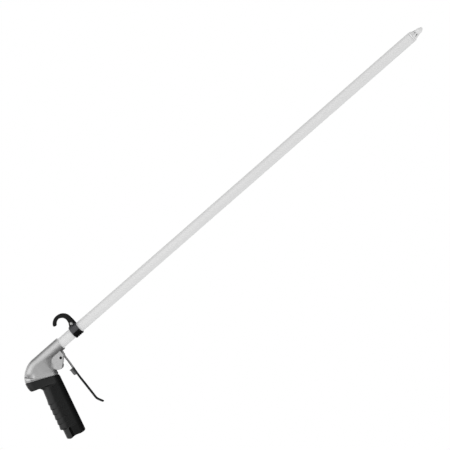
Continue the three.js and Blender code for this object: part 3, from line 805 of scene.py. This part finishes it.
def hook_outline():
    """The hook and its neck from the side. The foot is inside the saddle."""
    ox, oz, outer = HOOK["outer"]
    ix, iz, inner = HOOK["inner"]
    opening = math.radians(150)
    inside = arc(ix, iz, inner, -0.3, opening, 40)
    outside = arc(ox, oz, outer, opening - 0.03, 0, 40)
    tip, crown = inside[-1], outside[0]
    end = bezier([tip, (tip[0] - 1.8, tip[1] - 2.6), (crown[0] - 2.6, crown[1] - 2.4), crown], 10)
    foot = [(29.5, 6), *bezier([(29.5, 9.6), (32.5, 12), (34, 15.2)], 6), (35.8, 18.9)]
    neck = bezier([outside[-1], (45.9, 16), (45.6, 9.4)], 8)
    return [*foot, *inside, *end[1:], *outside[1:], *neck[1:], (44.6, 6)]


def clamp_saddle():
    """The smooth upper part of the ring."""
    start, end, upper = RING["start"], RING["end"], RING["upper"]
    whole = turned(eased([(start, 0), (start, upper), (end, upper), (end, 0)], 0.9))
    return cut(whole, block(20, 60, -ASIDE, ASIDE, -ASIDE, RING["waist"]))


def clamp_band():
    """The ring, with the gaps between the ribs that show below the saddle."""
    start, end, lower = RING["start"], RING["end"], RING["lower"]
    half, floor_half, floor = RIB_GAPS["half"], RIB_GAPS["floor_half"], lower - RIB_GAPS["depth"]
    profile = [(start, 0), (start, lower)]
    for x in RIB_GAPS["at"]:
        profile += [(x - half, lower), (x - floor_half, floor), (x + floor_half, floor), (x + half, lower)]
    return turned([*profile, (end - 0.3, lower), (end, lower - 0.3), (end, 0)])


def hook_clamp():
    lug = [(31.5, 7), (31.5, 10.4), (34.4, 16), (36, LUG["top"]), (44.4, LUG["top"]), (45.2, 17.4), (45.2, 7)]
    lugs = prism(lug, -LUG["half"], LUG["half"])
    hook = prism(hook_outline(), -HOOK["half"], HOOK["half"])
    clamp = moulded(joined(clamp_saddle(), clamp_band(), hook, lugs), *MOULD["clamp"])
    return cut(
        clamp,
        rod(RING["start"] - CLEAR, RING["end"] + CLEAR, RING["bore"], ROUND),
        block(20, 50, *LUG["slit"], 8, LUG["top"] + 0.6),
        cross_bar(SCREW, SCREW["hole"]),
        cross_bar(SCREW, NUT["radius"] + GAP, LUG["half"] - NUT["pocket"], ASIDE, 6),
    )


def clamp_screw():
    """A domed screw with a slot, across the clamp's lugs."""
    under, end, radius, head = -LUG["half"] - 1.4, LUG["half"] + 1.2, SCREW["radius"], SCREW["head"]
    top = under - SCREW["height"]
    dome = [(top, 0), (top, head * 0.55), (top + 0.5, head * 0.85), (top + 1.3, head), (under, head)]
    shank = [(under, radius), (end - 0.4, radius), (end, radius - 0.4), (end, 0)]
    screw = across([*dome, *shank], SCREW["x"], SCREW["z"])
    slot = block(-SCREW["slot"], SCREW["slot"], top - CLEAR, top + 1.1, -5, 5)
    turn = Matrix.Rotation(math.radians(-20), 4, "Y")
    slot.transform(Matrix.Translation((SCREW["x"], 0, SCREW["z"])) @ turn)
    return cut(screw, slot)


def clamp_washer():
    inner, radius = SCREW["radius"] + 0.25, WASHER["radius"]
    start, end = -LUG["half"] - WASHER["start"], -LUG["half"] - WASHER["end"]
    profile = eased([(start, inner), (start, radius), (end, radius), (end, inner)], 0.2)
    return across(profile, SCREW["x"], SCREW["z"])


def clamp_nut():
    start = LUG["half"] - NUT["pocket"] + GAP
    end = start + NUT["thickness"]
    inner, radius = SCREW["radius"] + 0.15, NUT["radius"]
    chamfered = [(start, inner), (start, radius), (end - 0.4, radius), (end, radius - 0.5), (end, inner)]
    nut = across(chamfered, SCREW["x"], SCREW["z"])
    return overlap(nut, cross_bar(SCREW, radius, start - CLEAR, end + CLEAR, 6))


# ---- Finishes -------------------------------------------------------------------------------------------


def finish(name, dark, light, rough, metallic=0.0, *, tone, grain=(1500, 0.1), stretch=(1, 1, 1), **fixed):
    """A procedural finish: mottled from dark to light, with uneven roughness and a fine grain as bump.

    Tone is the mottling's scale, grain is the bump's scale and strength, and fixed holds other shader inputs.
    """
    made = bpy.data.materials.new(name)
    made.use_nodes = True
    nodes, links = made.node_tree.nodes, made.node_tree.links
    shader = nodes["Principled BSDF"]
    shader.inputs["Metallic"].default_value = metallic
    for socket, value in fixed.items():
        shader.inputs[socket.replace("_", " ")].default_value = value
    place_node = nodes.new("ShaderNodeTexCoord")
    mapping = nodes.new("ShaderNodeMapping")
    mapping.inputs["Scale"].default_value = stretch
    links.new(place_node.outputs["Object"], mapping.inputs["Vector"])

    def noise(scale, detail, low, high):
        field = nodes.new("ShaderNodeTexNoise")
        field.inputs["Scale"].default_value = scale
        field.inputs["Detail"].default_value = detail
        links.new(mapping.outputs["Vector"], field.inputs["Vector"])
        spread = nodes.new("ShaderNodeMapRange")
        spread.inputs["From Min"].default_value = 0.3
        spread.inputs["From Max"].default_value = 0.7
        spread.inputs["To Min"].default_value = low
        spread.inputs["To Max"].default_value = high
        links.new(field.outputs["Fac"], spread.inputs["Value"])
        return spread.outputs["Result"]

    blend = nodes.new("ShaderNodeMix")
    blend.data_type = "RGBA"
    blend.inputs["A"].default_value = (*dark, 1)
    blend.inputs["B"].default_value = (*light, 1)
    links.new(noise(tone, 6, 0, 1), blend.inputs["Factor"])
    links.new(blend.outputs["Result"], shader.inputs["Base Color"])
    links.new(noise(tone * 2.7, 4, *rough), shader.inputs["Roughness"])
    bump = nodes.new("ShaderNodeBump")
    bump.inputs["Strength"].default_value = grain[1]
    bump.inputs["Distance"].default_value = 0.0002
    links.new(noise(grain[0], 3, 0, 1), bump.inputs["Height"])
    links.new(bump.outputs["Normal"], shader.inputs["Normal"])
    return made


def grey(value, tint=(1, 1, 1)):
    return tuple(value * t for t in tint)


COOL = (0.9, 1, 1)
BLUISH = (1, 1, 1.1)
GREENISH = (0.85, 1, 0.95)
SLIGHT, DULL, DULLEST = ({"Specular_IOR_Level": level} for level in (0.33, 0.14, 0.1))
CAST = finish("cast_alloy", grey(0.4), grey(0.44), (0.4, 0.47), 0.9, tone=180, grain=(900, 0.02))
GRIP_BLACK = finish(
    "grip_black", grey(0.003, COOL), grey(0.005, COOL), (0.42, 0.5), tone=140, grain=(1400, 0.08), **SLIGHT
)
HOOK_BLACK = finish(
    "hook_black", grey(0.003), grey(0.006), (0.35, 0.45), tone=160, grain=(1200, 0.04), **DULL
)
# Painted sheen: a lighter grey for the upper part of the clamp's ring, standing in for the light it reflects.
SADDLE_SHEEN_GREY = finish("saddle_painted_sheen", grey(0.036, BLUISH), grey(0.046, BLUISH), (0.45, 0.55), tone=160)
# Painted shade: a mid grey for the lever's plated steel where it lies in shade, on the web's edges and the
# flanges' ends.
LEVER_SHADE_GREY = finish("lever_painted_shade", grey(0.09), grey(0.13), (0.4, 0.5), tone=120)
# Painted shade: a near-black finish for the floor and low walls of the heel's channels, where shade falls.
HEEL_GROOVE_SHADE = finish("heel_groove_painted_shade", grey(0.002), grey(0.004), (0.7, 0.8), tone=120, **DULLEST)
LOWER_LEVER_BLACK = finish("lower_lever_black", grey(0.012, GREENISH), grey(0.02, GREENISH), (0.4, 0.5), tone=120)
OXIDE = finish("black_oxide", grey(0.02), grey(0.03), (0.4, 0.5), 0.3, tone=220, grain=(2500, 0.05))
ZINC = finish("dull_zinc", grey(0.42), grey(0.5), (0.35, 0.45), 0.9, tone=220, grain=(2500, 0.05))
PLATED = finish("plated_steel", grey(0.8), grey(0.9), (0.26, 0.34), 0.7, tone=90, grain=(1200, 0.01))
STEEL = finish("steel", grey(0.6), grey(0.72), (0.25, 0.36), 0.95, tone=200, grain=(2500, 0.03))
DRAWN = {"stretch": (0.05, 4, 4)}  # marks that run along the tube
TURNED = {"stretch": (6, 1, 1)}  # marks that run round it
TUBE_FINISH = finish(
    "tube_aluminium", grey(0.78), grey(0.82), (0.5, 0.58), 0.1, tone=40, grain=(500, 0.02), **DRAWN, **SLIGHT
)
NOZZLE_FINISH = finish(
    "nozzle_aluminium", grey(0.8), grey(0.88), (0.4, 0.5), 0.1, tone=90, grain=(700, 0.03), **TURNED
)
BRASS = finish("brass", (0.55, 0.4, 0.16), (0.68, 0.52, 0.24), (0.25, 0.4), 0.95, tone=150, grain=(1500, 0.1))
RUBBER = finish("seal_rubber", grey(0.012), grey(0.02), (0.6, 0.75), 0, tone=200, grain=(2500, 0.2))

# The finish of each of the record's material slots.
SLOT_FINISH = {
    "cast_alloy": CAST,
    "grip_black": GRIP_BLACK,
    "hook_black": HOOK_BLACK,
    "plated_steel": PLATED,
    "steel": STEEL,
    "tube_aluminium": TUBE_FINISH,
    "nozzle_aluminium": NOZZLE_FINISH,
    "brass": BRASS,
    "seal_rubber": RUBBER,
}

# ---- Assembly -------------------------------------------------------------------------------------------

# The pieces that are drawn anew. Each one has the name of the CAD node that it stands for.
FINE = [
    head_casting,
    grip_sleeve,
    inlet_bushing,
    gland_nut,
    valve_stem,
    trigger_lever,
    trigger_pivot_pin,
    extension_tube,
    nozzle_base,
    nozzle_body,
    nozzle_jet,
    hook_clamp,
    clamp_screw,
    clamp_washer,
    clamp_nut,
]

slots = {part["node"]: part["material_slot"] for part in frame["record"]["subparts"]}
body_of = {node: body for body, nodes in frame["record"]["behaviour"]["bodies"].items() for node in nodes}

for node, slot_name in slots.items():
    cad_mesh = frame["nodes"][node].data
    cad_mesh.materials.clear()
    cad_mesh.materials.append(SLOT_FINISH[slot_name])


def on_rim(at):
    """On the barrel's flat front, round the tube. Its light finish is partly the bare look of a machined face
    and partly painted light, which keeps this face from reading dark.
    """
    return at.x > -0.01 and at.z > -BARREL["radius"] - 1


def everywhere(at):
    return True


# Where the ring gets its painted sheen: the upper part, above the waist.
def on_saddle(at):
    return at.z > RING["waist"] and math.hypot(at.y, at.z) < RING["upper"] + GAP


def on_web_edge(at):
    """On the sides of the lever's web, which stand out past the flanges. They get painted shade."""
    return abs(at.y) > LEVER["half"] - LEVER["inset"] / 2


def on_coat(at):
    return at.z < LEVER["black_below"]


def on_foot(at):
    """On the flanges' ends, below where the lever turns black. They get painted shade."""
    lowest, front = LEVER["foot"]
    return on_coat(at) and at.x < front and at.z > lowest


# The finishes that a piece has besides its slot's, and which faces have each, by where their middle is. The
# last one that fits a face counts.
MORE_FINISHES = {
    # The rim's light finish: partly a machined face, partly painted light.
    "head_casting": [(TUBE_FINISH, on_rim)],
    # The heel's channels get painted shade.
    "grip_sleeve": [(HEEL_GROOVE_SHADE, in_heel_groove)],
    # The lever gets painted shade on the web's edges and the flanges' ends.
    "trigger_lever": [(LEVER_SHADE_GREY, on_web_edge), (LOWER_LEVER_BLACK, on_coat), (LEVER_SHADE_GREY, on_foot)],
    # The ring's upper part gets a painted sheen.
    "hook_clamp": [(SADDLE_SHEEN_GREY, on_saddle)],
    "trigger_pivot_pin": [(OXIDE, everywhere)],
    "nozzle_jet": [(STEEL, everywhere)],
    "clamp_screw": [(ZINC, everywhere)],
    "clamp_washer": [(OXIDE, everywhere)],
}


def place(make):
    """Builds one fine piece, puts it where its CAD node is and has it stand for that node."""
    node = make.__name__
    mesh = make()
    mesh.materials.clear()
    mesh.materials.append(SLOT_FINISH[slots[node]])
    for face in mesh.polygons:
        face.material_index = 0
    for number, (more, has_it) in enumerate(MORE_FINISHES.get(node, []), 1):
        mesh.materials.append(more)
        for face in mesh.polygons:
            if has_it(face.center):
                face.material_index = number
    mesh.transform(Matrix.Scale(MM, 4) @ Matrix.Translation(ORIGIN))
    mesh.shade_smooth()
    mesh.set_sharp_from_angle(angle=SHARP)
    piece = bpy.data.objects.new(node + "_fine", mesh)
    bpy.context.scene.collection.objects.link(piece)
    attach(piece, body_of[node])
    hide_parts(node)


for make in FINE:
    place(make)

# ---- Camera, light and stage ----------------------------------------------------------------------------

# In metres, in the row frame. Azimuth 0 looks along Y, and the roll turns the picture, as in the photo.
VIEW = {
    "aim": (0.4379, 0, 0.0506),
    "azimuth": math.radians(8.04),
    "roll": math.radians(41.08),
    "distance": 6,
    "lens": 270.1,
    "furthest": 50,
}
FLOOR = {"half": 2.2, "level": -0.75, "thickness": 0.02}


def direction(azimuth, elevation):
    """From the gun towards a place round it: azimuth 0 is -Y and 90 degrees is +X."""
    level = math.cos(elevation)
    return Vector((math.sin(azimuth) * level, -math.cos(azimuth) * level, math.sin(elevation)))


def make_camera():
    data = bpy.data.cameras.new("camera")
    data.lens = VIEW["lens"]
    data.clip_end = VIEW["furthest"]
    camera = bpy.data.objects.new("camera", data)
    bpy.context.scene.collection.objects.link(camera)
    back = direction(VIEW["azimuth"], 0)
    level = Vector((math.cos(VIEW["azimuth"]), math.sin(VIEW["azimuth"]), 0))
    right = level * math.cos(VIEW["roll"]) - Vector((0, 0, 1)) * math.sin(VIEW["roll"])
    up = back.cross(right)
    turn = Matrix((right, up, back)).transposed().to_4x4()
    camera.matrix_world = Matrix.Translation(Vector(VIEW["aim"]) + back * VIEW["distance"]) @ turn
    bpy.context.scene.camera = camera


def make_floor():
    """A pale floor well below the gun, which neither gloss nor matt surfaces see."""
    half, top = FLOOR["half"], FLOOR["level"]
    slab = block(-half, half, -half, half, top - FLOOR["thickness"], top)
    slab.materials.append(finish("floor_white", grey(0.86), grey(0.9), (0.7, 0.8), tone=3, grain=(200, 0.05)))
    floor = bpy.data.objects.new("floor", slab)
    floor.visible_glossy = False
    floor.visible_diffuse = False
    bpy.context.scene.collection.objects.link(floor)


# Soft glows that gloss mirrors: azimuth and elevation, the angles where each starts and ends to fade, all in
# degrees, and how bright it is.
GLOWS = {
    "key": (-40, 28, 10, 68, 1.85),
    "low": (12, -44, 10, 52, 0.3),
    "back": (220, 14, 10, 46, 1.6),
    "top": (0, 90, 10, 50, 0.2),
}
SURROUND = 0.05  # what gloss mirrors between them
MATT_LIGHT = {"below": 1.02, "above": 0.78}  # what matt surfaces get from straight below and straight above


def make_light():
    """A studio dome: matt surfaces see it almost evenly white, and gloss mirrors soft glows on a dim one.

    The camera itself sees it white.
    """
    world = bpy.data.worlds.new("studio")
    world.use_nodes = True
    nodes, links = world.node_tree.nodes, world.node_tree.links
    towards = nodes.new("ShaderNodeTexCoord").outputs["Generated"]
    path = nodes.new("ShaderNodeLightPath")

    def by_direction(middle, start, end, low, high):
        """A level that goes smoothly from low to high between two angles from a direction."""
        facing = nodes.new("ShaderNodeVectorMath")
        facing.operation = "DOT_PRODUCT"
        facing.inputs[1].default_value = middle
        links.new(towards, facing.inputs[0])
        level = nodes.new("ShaderNodeMapRange")
        level.interpolation_type = "SMOOTHSTEP"
        level.inputs["From Min"].default_value = math.cos(math.radians(start))
        level.inputs["From Max"].default_value = math.cos(math.radians(end))
        level.inputs["To Min"].default_value = low
        level.inputs["To Max"].default_value = high
        links.new(facing.outputs["Value"], level.inputs["Value"])
        return level.outputs["Result"]

    up = (0, 0, 1)
    gloss = by_direction(up, 180, 0, SURROUND, SURROUND)
    for azimuth, elevation, inner, outer, radiance in GLOWS.values():
        middle = direction(math.radians(azimuth), math.radians(elevation))
        add = nodes.new("ShaderNodeMath")
        links.new(gloss, add.inputs[0])
        links.new(by_direction(middle, outer, inner, 0, radiance), add.inputs[1])
        gloss = add.outputs[0]
    matt = by_direction(up, 180, 0, MATT_LIGHT["below"], MATT_LIGHT["above"])

    level = gloss
    for ray, source in (("Is Diffuse Ray", matt), ("Is Camera Ray", None)):
        choice = nodes.new("ShaderNodeMix")
        links.new(path.outputs[ray], choice.inputs["Factor"])
        links.new(level, choice.inputs["A"])
        choice.inputs["B"].default_value = 1
        if source:
            links.new(source, choice.inputs["B"])
        level = choice.outputs["Result"]
    links.new(level, nodes["Background"].inputs["Strength"])
    nodes["Background"].inputs["Color"].default_value = (1, 1, 1, 1)
    world.cycles.sampling_method = "NONE"
    bpy.context.scene.world = world


make_camera()
make_floor()
make_light()
bpy.context.scene.view_settings.view_transform = "Standard"
